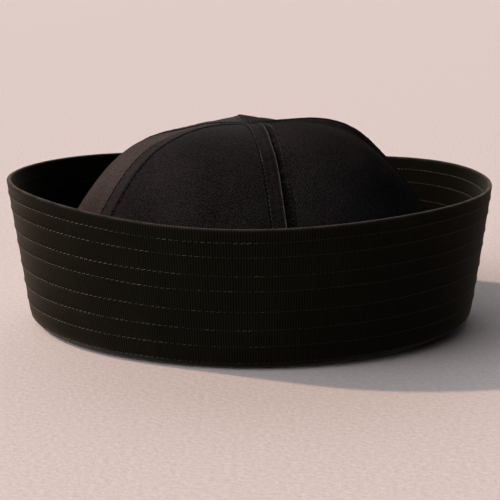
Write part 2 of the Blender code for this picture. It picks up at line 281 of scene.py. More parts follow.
def cotton_twill(name, ground, worn, sheen=0.07):
    """Washed cotton twill: diagonal ridges of short floats, matt, with a fine fuzz, grey at worn edges,
    where a painted highlight also lies, and darkened by painted shade where its wear is below 0.

    The real ridges are 0.8 mm apart and are drawn 1 mm apart, so that they show.
    """
    made, tree, shader = start_cloth(name)
    cloth = add(tree, "ShaderNodeUVMap", uv_map="cloth").outputs["UV"]
    grain = add(
        tree, "ShaderNodeMapping", {"Vector": cloth, "Rotation": (0, 0, -np.pi / 4)}
    ).outputs["Vector"]
    ridges = add(
        tree, "ShaderNodeTexWave",
        {"Vector": grain, "Scale": bands_per_metre(TWILL_PITCH), "Distortion": 1.2, "Detail": 2.0,
         "Detail Scale": 0.6, "Detail Roughness": 0.6},
        wave_type="BANDS", bands_direction="X", wave_profile="SIN",
    ).outputs["Fac"]
    along_floats = add(
        tree, "ShaderNodeMapping", {"Vector": grain, "Scale": (1 / YARN_WIDTH, 1 / FLOAT_LENGTH, 1)}
    ).outputs["Vector"]
    floats = add(
        tree, "ShaderNodeTexNoise", {"Vector": along_floats, "Scale": 1.0, "Detail": 2.0, "Roughness": 0.6}
    ).outputs["Fac"]
    place = add(tree, "ShaderNodeTexCoord").outputs["Object"]
    fuzz = add(
        tree, "ShaderNodeTexNoise",
        {"Vector": place, "Scale": 1 / FUZZ_SIZE, "Detail": 1.0, "Roughness": 0.5},
    ).outputs["Fac"]
    wash = add(
        tree, "ShaderNodeTexNoise", {"Vector": place, "Scale": WASH_PATCHES, "Detail": 3.0, "Roughness": 0.5}
    ).outputs["Fac"]
    weave = add(tree, "ShaderNodeMath", {0: ridges, 1: floats}, operation="MULTIPLY_ADD")
    tree.links.new(floats, weave.inputs[2])
    grains = add(
        tree, "ShaderNodeMath", {0: fuzz, 1: FUZZ_TONE, 2: wash}, operation="MULTIPLY_ADD"
    ).outputs[0]
    tone = add(
        tree, "ShaderNodeMath", {0: weave.outputs[0], 1: WEAVE_TONE, 2: grains}, operation="MULTIPLY_ADD"
    ).outputs[0]
    middle = TONE_MIDDLE + FUZZ_TONE / 2
    paleness = add(
        tree, "ShaderNodeMapRange",
        {"Value": tone, "From Min": middle - TONE_SPREAD, "From Max": middle + TONE_SPREAD},
    ).outputs["Result"]
    washed = colour_ramp(tree, paleness, ((0.0, ground), (1.0, worn)))
    colour = wear_and_painted_light_colour(tree, washed, FADED_AND_PAINTED_LIGHT_TWILL, PAINTED_SHADE_BLACK)
    twill = add(
        tree, "ShaderNodeBump", {"Height": weave.outputs[0], "Distance": TWILL_RELIEF, "Strength": 1.0}
    ).outputs["Normal"]
    nap = add(
        tree, "ShaderNodeBump", {"Height": fuzz, "Distance": FUZZ_RELIEF, "Strength": 0.8, "Normal": twill}
    ).outputs["Normal"]
    tree.links.new(colour, shader.inputs["Base Color"])
    tree.links.new(nap, shader.inputs["Normal"])
    shader.inputs["Roughness"].default_value = 0.88
    shader.inputs["Specular IOR Level"].default_value = 0.0
    shader.inputs["Sheen Weight"].default_value = sheen
    shader.inputs["Sheen Roughness"].default_value = 0.30
    shader.inputs["Sheen Tint"].default_value = linear("#fffaf6")
    return made


GORE_DOWN = 112
GORE_INNER_COLUMNS = 24
EDGE_COLUMNS = np.array([0, 1.6, 3.0, 4.0, 4.8, 5.5, 6.2, 7.0, 7.9, 8.9, 10.0, 11.3, 12.8]) * MM
EDGE_SHARE = 0.8
# Painted shade: the first gore is darkened towards its right seam, where its shoulder turns from the light.
PAINTED_SHADE_GORE = 0
PAINTED_SHADE_EDGE = 0.25
PAINTED_SHADE_EDGE_REACH = 20 * MM
TIP_CUT = 0.0004
PUCKER_DEPTH = 0.15 * MM
PUCKER_REACH = 8.5 * MM
PUCKER_LENGTH = 5.0 * MM
PUCKER_SLANT = 0.35
SWAY_DEPTH = 0.35 * MM
SWAY_LENGTH = 46 * MM
SWAY_SLANTS = (0.5, -0.3)


def seam_azimuth(number, polar):
    """A seam's azimuth at angles down from the top. A bent one starts further round and swings back."""
    lower = np.clip((np.abs(polar) - BEND_FROM) / (BEND_TO - BEND_FROM), 0, 1)
    swung = 1 - lower * lower * (3 - 2 * lower)
    return np.radians(SEAMS[number]["azimuth"] + SEAMS[number]["bend"] * swung)


def gore_columns(width):
    """Lengths across the gore at which it is cut: close together beside its seams, even between."""
    near = EDGE_COLUMNS * np.minimum(1, EDGE_SHARE * width / 2 / EDGE_COLUMNS[-1])
    onwards = np.linspace(0, 1, GORE_INNER_COLUMNS + 1)[1:]
    half = np.concatenate([near, near[:, -1:] + (width / 2 - near[:, -1:]) * onwards], axis=1)
    return np.concatenate([half, width - half[:, -2::-1]], axis=1)


def gore_relief(number, down, left, right):
    """How far the cloth stands off its fair shape, at lengths down the gore and in from its two seams.

    Beside each seam it is drawn into small slanted puckers, which die out within their reach. In
    between it sways a little.
    """
    relief = SWAY_DEPTH * wander(down + SWAY_SLANTS[0] * left, SWAY_LENGTH, 40 + number)
    relief = relief * wander(left + SWAY_SLANTS[1] * down, SWAY_LENGTH, 50 + number)
    relief = relief * np.clip(np.minimum(left, right) / PUCKER_REACH, 0, 1)
    for inwards, seed in ((left, 60), (right, 70)):
        fade = np.exp(-((inwards / PUCKER_REACH) ** 2))
        relief += PUCKER_DEPTH * fade * wander(down + PUCKER_SLANT * inwards, PUCKER_LENGTH, seed + number)
    return relief


def make_gore(number, material):
    """One gore as a closed wall: its inner face, then its outer face back across, row by row down."""
    polar = np.linspace(TIP_CUT / CROWN_RISE, CROWN_END, GORE_DOWN + 1)[:, None]
    start = seam_azimuth(number, polar)
    stop = seam_azimuth((number + 1) % len(SEAMS), polar)
    stop = stop + 2 * np.pi * (stop < start)
    middle = towards((start + stop) / 2, polar)
    width = crown_reach(middle) * np.sin(polar) * (stop - start)
    left = gore_columns(width)
    down = np.broadcast_to(run(crown_points(middle[:, 0], 0))[:, None], left.shape)
    direction = towards(start + (stop - start) * left / width, polar)
    relief = gore_relief(number, down, left, width - left)
    outer = crown_points(direction, relief)
    inner = crown_points(direction, relief - CROWN_CLOTH)
    laid = np.stack([left - width / 2, down], axis=-1)
    sections = np.concatenate([inner, outer[:, ::-1]], axis=1)
    cloth_map = np.concatenate([laid, laid[:, ::-1], laid[:, :1]], axis=1)
    # Painted shade on the first gore's outer face near its right seam, stored as wear below 0.
    painted_edge_shade = PAINTED_SHADE_EDGE * (number == PAINTED_SHADE_GORE) * np.exp(-(((width - left) / PAINTED_SHADE_EDGE_REACH) ** 2))
    wear = np.concatenate([np.zeros_like(painted_edge_shade), -painted_edge_shade[:, ::-1]], axis=1)
    gore = loft(f"gore_{number + 1}", sections, cloth_map, wear)
    gore.data.materials.append(material)
    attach(gore, "root")
    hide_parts(f"crown_gore_{number + 1}")


# Painted light and shade: the two gores at the lit left and back get a lighter twill, and the one at
# the shaded right a darker one. The two at the right have little nap.
washed_twill = cotton_twill("washed_black_cotton_twill", "#020202", "#2e2b2a")
lit_side_twill = cotton_twill("lit_side_black_cotton_twill", "#030303", "#514743")
bald_twill = cotton_twill("napless_black_cotton_twill", "#020202", "#312e2d", sheen=0.015)
shaded_side_twill = cotton_twill("shaded_side_black_cotton_twill", "#010101", "#262322", sheen=0.015)
gore_twills_with_painted_light = (bald_twill, shaded_side_twill, washed_twill, lit_side_twill, lit_side_twill, washed_twill)
for gore_number, gore_twill in enumerate(gore_twills_with_painted_light):
    make_gore(gore_number, gore_twill)

# Crown seams
# Felled seams of the same twill: one gore's edge is folded over the next and stitched down, which
# leaves a raised band with a folded ridge along it. The centre seam runs over the top, and the four
# side seams end against it.

SEAM_SHORT = 0.0008
SEAM_GAP = 0.0003
SEAM_END = LEVEL + np.arctan((CROWN_LAP - SEAM_SHORT) / CROWN_HALF[0])
CENTRE_TURN = np.radians(7)
# In each band, "wear" scales the wear and painted highlight along the ridge and edges and the painted shade
# beside the ridge; the third pair of lengths places painted shade in the stitched rows' grooves; "fade"
# makes the whole band lighter, as painted light.
SIDE_BAND = {
    "left": 5.75 * MM, "right": 5.75 * MM, "aprons": (1.45 * MM, 1.45 * MM), "rows": (1.45 * MM, 1.45 * MM),
    "shaded_grooves": (1.45 * MM, 1.45 * MM), "ridge": 10.05 * MM, "rise": 0.10 * MM, "wear": 0.05, "fade": 0.0,
}
CENTRE_BAND = {
    "left": 3.10 * MM, "right": 8.2 * MM, "aprons": (0.28 * MM, 1.45 * MM), "rows": (0.85 * MM, 1.45 * MM),
    "shaded_grooves": (0.20 * MM, 1.45 * MM), "ridge": 6.70 * MM, "rise": 0.70 * MM, "wear": 0.38, "fade": 0.0,
}
BACK_RIDGE = 2.4 * MM
BACK_RISE = 0.10 * MM
BANDS = {
    "front": CENTRE_BAND,
    "front_right": {**SIDE_BAND, "left": 3.0 * MM, "right": 8.5 * MM},
    "back_right": SIDE_BAND,
    # The two left seams' bands are made lighter by their "fade": painted light on the lit left.
    "back_left": {**SIDE_BAND, "fade": 0.20},
    "front_left": {**SIDE_BAND, "fade": 0.055},
}
SEAM_TIP = 1.2 * MM
SEAM_START = 0.005
SEAM_SEARCH = 1500
LEAST_SLANT = 0.0003
TANGENT_STEP = 0.001
BAND_FACE = 0.45 * MM
BAND_LOW = 0.08 * MM
RIDGE_SLOPE = 0.42 * MM
RIDGE_FALL = 0.20 * MM
BAND_SINK = 0.15 * MM
TIP_FLAT = 7.0 * MM
TOP_FLAT = {"front": np.radians(5), "back": np.radians(15), "least": 0.12}
ROW_GROOVE = 0.46 * MM
ROW_GROOVE_WIDTH = 0.24 * MM
ROW_HOLES = 0.4
# Wear with a painted highlight along the ridge and edges, and painted shade in the row grooves, behind the
# ridge and just before it.
WEAR_AND_HIGHLIGHT_WIDTH = 0.19 * MM
GROOVE_SHADE_WIDTH = 0.50 * MM
GROOVE_SHADE_HOLES = 0.45
EDGE_WEAR_AND_HIGHLIGHT = 0.4
WEAR_AND_HIGHLIGHT_PATCH = {"mean": 0.8, "spread": 0.35, "length": 7 * MM}
RIDGE_SHADOW_PAINT = 1.6
RIDGE_SHADOW_PAINT_REACH = 3.2 * MM
RIDGE_SHADE_AT = 1.3 * MM
RIDGE_SHADE_WIDTH = 0.6 * MM
SEAM_STITCH = 2.3 * MM
BAND_PUCKER = 0.05 * MM
BAND_PUCKER_LENGTH = 4.5 * MM
BAND_PUCKER_SLANT = 0.4
RIDGE_WANDER = 0.10 * MM
RIDGE_WANDER_LENGTH = 30 * MM
BAND_UNDER = 6
BAND_EDGE = np.array([0, 0.25, 0.5, 0.8, 1.05, 1.2, 1.32, 1.45, 1.58, 1.7, 1.85, 2.1, 2.5]) * MM
BAND_ACROSS = 44
BAND_SAMPLE = 0.46 * MM


def seam_middle(number, polar):
    """Directions along a seam's line. The front seam stands for the whole centre seam.

    Its angles from the top are negative at the back, and its heading turns smoothly at the top.
    """
    if SEAMS[number]["name"] != "front":
        return towards(seam_azimuth(number, polar), polar)
    back = next(row["azimuth"] for row in SEAMS if row["name"] == "back")
    near = (1 + np.tanh(polar / CENTRE_TURN)) / 2
    return towards(seam_azimuth(number, polar) * near + np.radians(back - 180) * (1 - near), polar)


def seam_line(number, polar):
    """Middle directions, crossways directions, and left and right widths of a seam's band.

    A side seam is narrower where it would cross the centre seam's line, or the middle of the way to
    the next side seam, so that it comes to a point at the top.
    """
    band = BANDS[SEAMS[number]["name"]]
    middle = seam_middle(number, polar)
    ahead = seam_middle(number, polar + TANGENT_STEP) - seam_middle(number, polar - TANGENT_STEP)
    sideways = np.cross(middle, ahead)
    sideways /= np.linalg.norm(sideways, axis=-1, keepdims=True)
    widths = [np.full_like(polar, band["left"]), np.full_like(polar, band["right"])]
    if SEAMS[number]["name"] != "front":
        distance = crown_reach(middle) * np.sin(polar)
        for side, step in enumerate((-1, 1)):
            beyond = (number + step) % len(SEAMS)
            apart = np.mod(step * (seam_azimuth(beyond, polar) - seam_azimuth(number, polar)), 2 * np.pi)
            if SEAMS[beyond]["name"] in ("front", "back"):
                room = distance * np.sin(apart) / np.maximum(np.cos(apart), LEAST_SLANT) - SEAM_GAP
            else:
                room = distance * np.tan(apart / 2) - SEAM_GAP / 2
            widths[side] = np.minimum(np.maximum(room, 0), widths[side])
    return middle, sideways, *widths


def seam_angles(number, spacing):
    """Angles down a seam from its tip, or its back edge, evenly spaced along its length."""
    first = -SEAM_END if SEAMS[number]["name"] == "front" else SEAM_START
    polar = np.linspace(first, SEAM_END, SEAM_SEARCH)
    middle, _, left, right = seam_line(number, polar)
    wide = left + right > SEAM_TIP
    polar = polar[wide]
    length = run(crown_points(middle[wide], 0))
    places = np.linspace(0, length[-1], int(length[-1] / spacing) + 1)
    return np.interp(places, length, polar), places


def before_ridge(number, polar, inwards, width, places):
    """How far a place lies before the folded ridge, which lies the other way at the back."""
    band = BANDS[SEAMS[number]["name"]]
    share = width / (band["left"] + band["right"])
    shake = RIDGE_WANDER * wander(places, RIDGE_WANDER_LENGTH, 80 + number)
    return np.where(polar > 0, band["ridge"] * share - inwards + shake, inwards - BACK_RIDGE + shake)


def flatness(number, polar, width):
    """How much of its height a band keeps: less at a narrow tip, and where it tops the crown."""
    if SEAMS[number]["name"] != "front":
        return np.clip(width / TIP_FLAT, TOP_FLAT["least"], 1)
    scale = np.where(polar > 0, TOP_FLAT["front"], TOP_FLAT["back"])
    return 1 - (1 - TOP_FLAT["least"]) * np.exp(-((polar / scale) ** 2))


def band_height(number, polar, inwards, width, places):
    """Height of a band's face, at lengths in from its left edge and along it.

    It swells up from both edges to the stitched rows, which lie in narrow grooves, deepest at the
    needle holes. Between them it is flat, climbs to the folded ridge and drops behind it.
    """
    band = BANDS[SEAMS[number]["name"]]
    before = before_ridge(number, polar, inwards, width, places)
    rise = np.where(polar > 0, band["rise"], BACK_RISE)
    climb = rise * np.exp(-np.maximum(before, 0) / RIDGE_SLOPE)
    fall = np.exp(-((np.minimum(before, 0) / RIDGE_FALL) ** 2))
    face = np.where(before > 0, BAND_FACE + climb, BAND_LOW + (BAND_FACE + rise - BAND_LOW) * fall)
    along = places + BAND_PUCKER_SLANT * inwards
    face = face + BAND_PUCKER * wander(along, BAND_PUCKER_LENGTH, 90 + number)
    needle = 0.5 + 0.5 * np.cos(2 * np.pi * places / SEAM_STITCH)
    for edge, apron, row in zip((inwards, width - inwards), band["aprons"], band["rows"]):
        apron = np.where(polar > 0, apron, SIDE_BAND["aprons"][0])
        face = face * np.sin(np.pi / 2 * np.clip(edge / apron, 0, 1))
        dent = np.exp(-(((edge - row) / ROW_GROOVE_WIDTH) ** 2))
        face = face - ROW_GROOVE * dent * (1 - ROW_HOLES + ROW_HOLES * needle)
    return np.maximum(face, 0) * flatness(number, polar, width)


def band_wear_and_painted_light(number, polar, inwards, width, places):
    """How worn and painted a band is: above 0 along its folded ridge and, less, its edges, in patches, for
    wear and a painted highlight, and over a whole band made lighter as painted light.

    It is below 0 for painted shade: in the grooves of the stitched rows, most at the needle holes, and
    in the shadow behind a raised ridge and just before it.
    """
    band = BANDS[SEAMS[number]["name"]]
    before = before_ridge(number, polar, inwards, width, places)
    ridge = np.exp(-(((before - WEAR_AND_HIGHLIGHT_WIDTH / 2) / WEAR_AND_HIGHLIGHT_WIDTH) ** 2))
    edge = np.exp(-(((np.minimum(inwards, width - inwards) - WEAR_AND_HIGHLIGHT_WIDTH) / WEAR_AND_HIGHLIGHT_WIDTH) ** 2))
    patchy = WEAR_AND_HIGHLIGHT_PATCH["mean"] + WEAR_AND_HIGHLIGHT_PATCH["spread"] * wander(places, WEAR_AND_HIGHLIGHT_PATCH["length"], 95 + number)
    top = 1 - np.exp(-((2 * polar / TOP_FLAT["front"]) ** 2))
    # Painted shadow behind the raised ridge.
    behind = np.exp(-((np.minimum(before, 0) / RIDGE_SHADOW_PAINT_REACH) ** 2)) * (before < -RIDGE_FALL)
    painted_shade = RIDGE_SHADOW_PAINT * band["wear"] * behind
    needle = 0.5 + 0.5 * np.cos(2 * np.pi * places / SEAM_STITCH)
    # Painted shade in the grooves of the stitched rows, darkest at the needle holes.
    for side, row in zip((inwards, width - inwards), band["shaded_grooves"]):
        groove_shade = np.exp(-(((side - row) / GROOVE_SHADE_WIDTH) ** 2)) * (1 - GROOVE_SHADE_HOLES + GROOVE_SHADE_HOLES * needle)
        painted_shade = np.maximum(painted_shade, groove_shade)
    # Painted shade just before the ridge.
    shade = np.exp(-(((before - RIDGE_SHADE_AT) / RIDGE_SHADE_WIDTH) ** 2))
    painted_shade = np.maximum(painted_shade, band["wear"] * shade)
    # Lighter for the band's painted light, and for wear and painted highlight along ridge and edges.
    worn = band["fade"] + band["wear"] * (ridge + EDGE_WEAR_AND_HIGHLIGHT * edge) * patchy * top
    return np.clip(worn * (1 - painted_shade) - painted_shade, -1, 1)


def band_points(number, polar, inwards, lift):
    """Points on a seam: at angles down it, lengths in from its left edge, and lifts off the crown."""
    middle, sideways, left, _ = seam_line(number, polar)
    line = middle * crown_reach(middle)[..., None]
    beside = line[:, None] + (inwards - left[:, None])[..., None] * sideways[:, None]
    direction = beside / np.linalg.norm(beside, axis=-1, keepdims=True)
    return crown_points(direction, lift)


def band_columns(width, full):
    """Lengths in from the left edge at which a band is cut: close together at the grooves and edges."""
    between = np.linspace(BAND_EDGE[-1], full - BAND_EDGE[-1], BAND_ACROSS)[1:-1]
    cuts = np.concatenate([BAND_EDGE, between, full - BAND_EDGE[::-1]])
    return np.sort(cuts) * width / full


def make_band(number, name, material):
    """A seam's band as a closed wall: its flat underside, then its face back across."""
    polar, places = seam_angles(number, BAND_SAMPLE)
    band = BANDS[SEAMS[number]["name"]]
    _, _, left, right = seam_line(number, polar)
    width = (left + right)[:, None]
    inwards = band_columns(width, band["left"] + band["right"])
    under = np.linspace(0, 1, BAND_UNDER) * width
    place = (number, polar[:, None], inwards, width, places[:, None])
    top = band_points(number, polar, inwards, band_height(*place))
    # Wear, painted highlight and painted shade on the band's face; none underneath.
    wear = np.concatenate([np.zeros_like(under), band_wear_and_painted_light(*place)[:, ::-1]], axis=1)
    bottom = band_points(number, polar, under, np.full_like(under, -BAND_SINK))
    top_map = np.stack([inwards, np.broadcast_to(places[:, None], inwards.shape)], axis=-1)
    under_map = np.stack([under, np.broadcast_to(places[:, None], under.shape)], axis=-1)
    sections = np.concatenate([bottom, top[:, ::-1]], axis=1)
    cloth_map = np.concatenate([under_map, top_map[:, ::-1], under_map[:, :1]], axis=1)
    seam_band = loft(name, sections, cloth_map, wear)
    seam_band.data.materials.append(material)
    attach(seam_band, "root")
    return seam_band


seam_twill = cotton_twill("felled_black_cotton_twill", "#020202", "#2c2928")
bands = {number: seam for number, seam in enumerate(SEAMS) if seam["name"] != "back"}
for seam_number, seam in bands.items():
    node = "crown_seam_centre" if seam["name"] == "front" else f"crown_seam_{seam['name']}"
    # The band on the shaded right takes the darker twill: painted shade.
    band_twill = shaded_side_twill if seam["name"] == "front_right" else seam_twill
    seam_band = make_band(seam_number, node.replace("crown_seam", "felled_seam"), band_twill)
    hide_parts(node)

# Crown stitches
# Two rows of lockstitch in black cotton thread hold each seam down, one just inside each edge. Each
# stitch shows as a short twisted float that dives into the cloth at both ends.

CROWN_THREAD = 0.15 * MM
STITCH_POINTS = 6
STITCH_SIDES = 5
STITCH_SHARE = 0.80
LEAST_STITCHED = 3.1 * MM
STITCH_TAPER = 0.16
STITCH_ARCH = 1.5
STITCH_DIVE = 0.75
THREAD_PATCHES = 110.0
THREAD_PLIES = 2600.0
PLY_RELIEF = 0.08 * MM


def threads(name, paths, outwards, radius):
    """Short threads joined in one mesh, each a tube through its own row of points.

    Each tube's round sections stand square to its path, lean on the outward directions, shrink a
    little at both ends, and are closed there by a flat face.
    """
    ahead = np.gradient(paths, axis=1)
    ahead /= np.linalg.norm(ahead, axis=-1, keepdims=True)
    side = np.cross(ahead, outwards)
    side /= np.linalg.norm(side, axis=-1, keepdims=True)
    up = np.cross(side, ahead)
    angle = np.linspace(0, 2 * np.pi, STITCH_SIDES, endpoint=False)
    swell = np.sin(np.pi * np.linspace(STITCH_TAPER, 1 - STITCH_TAPER, STITCH_POINTS)) ** 0.5 * radius
    around = np.cos(angle)[:, None] * side[:, :, None] + np.sin(angle)[:, None] * up[:, :, None]
    points = paths[:, :, None] + swell[:, None, None] * around
    count = len(paths)
    first = (np.arange(count) * STITCH_POINTS * STITCH_SIDES)[:, None, None]
    ring, turn = np.meshgrid(np.arange(STITCH_POINTS - 1), np.arange(STITCH_SIDES), indexing="ij")
    beyond = (turn + 1) % STITCH_SIDES
    quads = [ring * STITCH_SIDES + turn, ring * STITCH_SIDES + beyond]
    quads += [(ring + 1) * STITCH_SIDES + beyond, (ring + 1) * STITCH_SIDES + turn]
    faces = (first[..., None] + np.stack(quads, axis=-1)).reshape(-1, 4).tolist()
    start_cap = np.arange(STITCH_SIDES)[::-1]
    end_cap = np.arange(STITCH_SIDES) + (STITCH_POINTS - 1) * STITCH_SIDES
    faces += (first[:, 0] + start_cap).tolist() + (first[:, 0] + end_cap).tolist()
    mesh = bpy.data.meshes.new(name)
    mesh.from_pydata(points.reshape(-1, 3), [], faces)
    mesh.shade_smooth()
    made = bpy.data.objects.new(name, mesh)
    bpy.context.scene.collection.objects.link(made)
    return made


def cotton_thread(name, colour, worn, painted_light_slope=0.0):
    """Mercerised cotton thread: two plies, matt to silky, uneven in colour, and lighter towards one side.

    The last value is how much further along its ramp the colour lies for each metre towards +X: painted
    light, lighter towards the lit side.
    """
    made, tree, shader = start_cloth(name)
    place = add(tree, "ShaderNodeTexCoord").outputs["Object"]
    uneven = add(
        tree, "ShaderNodeTexNoise",
        {"Vector": place, "Scale": THREAD_PATCHES, "Detail": 3.0, "Roughness": 0.7},
    ).outputs["Fac"]
    plies = add(
        tree, "ShaderNodeTexNoise", {"Vector": place, "Scale": THREAD_PLIES, "Detail": 1.0}
    ).outputs["Fac"]
    across = add(tree, "ShaderNodeSeparateXYZ", {"Vector": place}).outputs["X"]
    tone = add(tree, "ShaderNodeMath", {0: across, 1: painted_light_slope, 2: uneven}, operation="MULTIPLY_ADD").outputs[0]
    tree.links.new(colour_ramp(tree, tone, ((0.52, colour), (0.80, worn))), shader.inputs["Base Color"])
    twist = add(tree, "ShaderNodeBump", {"Height": plies, "Distance": PLY_RELIEF, "Strength": 0.8})
    tree.links.new(twist.outputs["Normal"], shader.inputs["Normal"])
    shader.inputs["Roughness"].default_value = 0.62
    shader.inputs["Specular IOR Level"].default_value = 0.10
    shader.inputs["Sheen Weight"].default_value = 0.20
    shader.inputs["Sheen Roughness"].default_value = 0.40
    return made


def stitch_spans(length, pitch):
    """Lengths along a seam at which each stitch's points lie, a row for each stitch."""
    middles = (np.arange(int(length / pitch)) + 0.5) * pitch
    span = np.linspace(-0.5, 0.5, STITCH_POINTS) * pitch * STITCH_SHARE
    return middles[:, None] + span


stitch_rise = STITCH_ARCH * np.sin(np.pi * np.linspace(0, 1, STITCH_POINTS)) ** 0.6 - STITCH_DIVE
black_thread = cotton_thread("black_cotton_thread", "#030303", "#121010")
# A lighter copy of the black thread for the centre seam's left row: a painted highlight where the light
# catches that row.
highlit_thread = cotton_thread("highlit_black_cotton_thread", "#231f1d", "#8a817a")
for seam_number in bands:
    polar, places = seam_angles(seam_number, BAND_SAMPLE)
    spans = stitch_spans(places[-1], SEAM_STITCH)
    angles = np.interp(spans, places, polar)
    flat_angles = angles.ravel()
    _, _, left, right = seam_line(seam_number, flat_angles)
    width = (left + right)[:, None]
    wide_enough = (width[:, 0] > LEAST_STITCHED).reshape(angles.shape).all(axis=1)
    name = SEAMS[seam_number]["name"]
    left_row, right_row = BANDS[name]["rows"]
    for side, inwards in (("left", np.full_like(width, left_row)), ("right", width - right_row)):
        lift = band_height(seam_number, flat_angles[:, None], inwards, width, spans.reshape(-1, 1))
        lift = lift + CROWN_THREAD * np.tile(stitch_rise, len(angles))[:, None]
        paths = band_points(seam_number, flat_angles, inwards, lift).reshape(*angles.shape, 3)[wide_enough]
        outwards = paths - np.array([*BRIM_SHIFT, LEG_HEIGHT])
        stitches = threads(f"seam_stitches_{name}_{side}", paths, outwards, CROWN_THREAD)
        # The centre seam's left row gets the painted-highlight thread.
        stitches.data.materials.append(highlit_thread if (name, side) == ("front", "left") else black_thread)
        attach(stitches, "root")

# Brim
# One strip of ribbed black cotton, doubled over at the rim and joined into a ring. It hangs from the
# crown's lower edge, folds round at the bottom where it meets the floor, and stands up outside the
# crown. Eight rows of stitching quilt its two plies together.

BRIM_HEIGHT = 0.062
BRIM_FLARE = 0.009
RIM_WAVES = (
    {"count": 2, "crest": 9.4, "height": 0.038},
    {"count": 4, "crest": 45.0, "height": 0.011},
)
ROW_SHARES = np.array([0.104, 0.205, 0.336, 0.443, 0.587, 0.717, 0.836, 0.956])
ROWS_DOWN = ROW_SHARES * BRIM_HEIGHT
ROW_WANDER = 0.35 * MM
ROW_SWAY_REACH = 90 * MM
ROW_SWAY_LENGTH = 70 * MM
QUILT_PUFF = 0.10 * MM
QUILT_GROOVE = 0.13 * MM
QUILT_GROOVE_WIDTH = 0.55 * MM
QUILT_HOLES = 0.2
QUILT_PUCKER = 0.02 * MM
QUILT_PUCKER_LENGTH = 5 * MM
QUILT_PUCKER_SLANT = 0.3
BRIM_SWAY = 0.30 * MM
BRIM_SWAY_LENGTH = 60 * MM
BRIM_SWAY_SLANT = 0.4
FOOT_MARGIN = 1.2 * MM
FOOT_FADE = 1.5 * MM
FOLD_LIFT = 2.2 * MM
FOLD_LIFT_REACH = 95 * MM
BRIM_GIRTH = np.pi * (FOOT_HALF.sum() + BRIM_FLARE)
BRIM_STITCHES = 260
BRIM_AROUND = 590
DENSE = 2400
ROW_CUTS = np.array([-2.0, -1.0, -0.45, 0, 0.45, 1.0, 2.0]) * MM
RIM_CUTS = np.linspace(0, 1.8 * MM, 5)
FOLD_FROM = 3 * MM
FOLD_STEP = 1.3 * MM


def arc(centre, radius, start, stop):
    """Points of an arc, as (outset, height), with both ends."""
    angle = np.radians(np.linspace(start, stop, 60))
    return np.stack([centre[0] + radius * np.cos(angle), centre[1] + radius * np.sin(angle)], axis=1)


def brim_section():
    """The brim's fair outline in section, evenly spaced, as outset, height and path from the rim's top.

    It goes up the inner face of the wall, over the folded rim, down the outer face, round the fold
    past its flat foot, up the leg's inner face, over the leg and down to the fold's inside.
    """
    outer_centre = (-FOLD_OUTER_RADIUS, FOLD_OUTER_RADIUS)
    inner_centre = (-FOLD_OUTER_RADIUS - FOLD_FLAT, FOLD_INNER_RADIUS)
    half_cloth = BRIM_CLOTH / 2
    rim_centre = (-half_cloth, BRIM_HEIGHT - half_cloth)
    pieces = [
        arc(rim_centre, half_cloth, 180, 0),
        arc(outer_centre, FOLD_OUTER_RADIUS, 0, -90),
        arc(inner_centre, FOLD_INNER_RADIUS, -90, -180),
        arc((-FOLD_WIDTH + half_cloth, LEG_HEIGHT), half_cloth, 180, 0),
        arc(inner_centre, FOLD_INNER_RADIUS - BRIM_CLOTH, 180, 270),
        arc(outer_centre, FOLD_OUTER_RADIUS - BRIM_CLOTH, -90, 0),
    ]
    outline = np.concatenate(pieces + [pieces[0][:1]])
    length = run(outline)
    path = np.linspace(0, length[-1], DENSE, endpoint=False)
    outset, height = (np.interp(path, length, outline[:, axis]) for axis in (0, 1))
    over_rim = np.pi * half_cloth / 2
    return outset, height, path - over_rim, length[-1]


section_outset, section_height, section_path, section_length = brim_section()
ahead_outset = np.roll(section_outset, -1) - np.roll(section_outset, 1)
ahead_height = np.roll(section_height, -1) - np.roll(section_height, 1)
ahead_size = np.hypot(ahead_outset, ahead_height)
on_wall = np.clip((section_outset + FOLD_OUTER_RADIUS) / (FOLD_OUTER_RADIUS - BRIM_CLOTH), 0, 1)
section = {
    "outset": section_outset,
    "height": section_height,
    "out": -ahead_height / ahead_size,
    "up": ahead_outset / ahead_size,
    "share": section_height / BRIM_HEIGHT * on_wall,
}


def at_path(column, path):
    """A column of the brim's section at paths from the rim's top, positive down the outer face."""
    return np.interp(path, section_path, section[column], period=section_length)


def brim_points(angle, path, lift):
    """Points at this distance off the brim's fair face, at angles round the oval and paths over it."""
    share = at_path("share", path)
    grown = at_path("outset", path) - at_path("out", path) * lift + BRIM_FLARE * share
    along = (FOOT_HALF[0] + grown) * np.cos(angle)
    across = (FOOT_HALF[1] + grown) * np.sin(angle)
    x = along * np.cos(OVAL_TURN) - across * np.sin(OVAL_TURN) + BRIM_SHIFT[0] * (1 - share)
    y = along * np.sin(OVAL_TURN) + across * np.cos(OVAL_TURN) + BRIM_SHIFT[1] * (1 - share)
    wave = sum(w["height"] * np.cos(w["count"] * (angle - np.radians(w["crest"]))) for w in RIM_WAVES)
    z = at_path("height", path) - at_path("up", path) * lift + BRIM_HEIGHT * wave * share
    raised = np.clip(x / FOLD_LIFT_REACH, 0, 1)
    z = z + FOLD_LIFT * raised * (1 - z / BRIM_HEIGHT)
    return np.stack([x, y, z], axis=-1)


def row_down(row, angle):
    """How far below the rim a stitched row runs, with its small sways."""
    sideways = wander(np.cos(angle) * ROW_SWAY_REACH, ROW_SWAY_LENGTH, 100 + row)
    lengthways = wander(np.sin(angle) * ROW_SWAY_REACH, ROW_SWAY_LENGTH, 120 + row)
    return ROWS_DOWN[row] + ROW_WANDER * (sideways * lengthways)


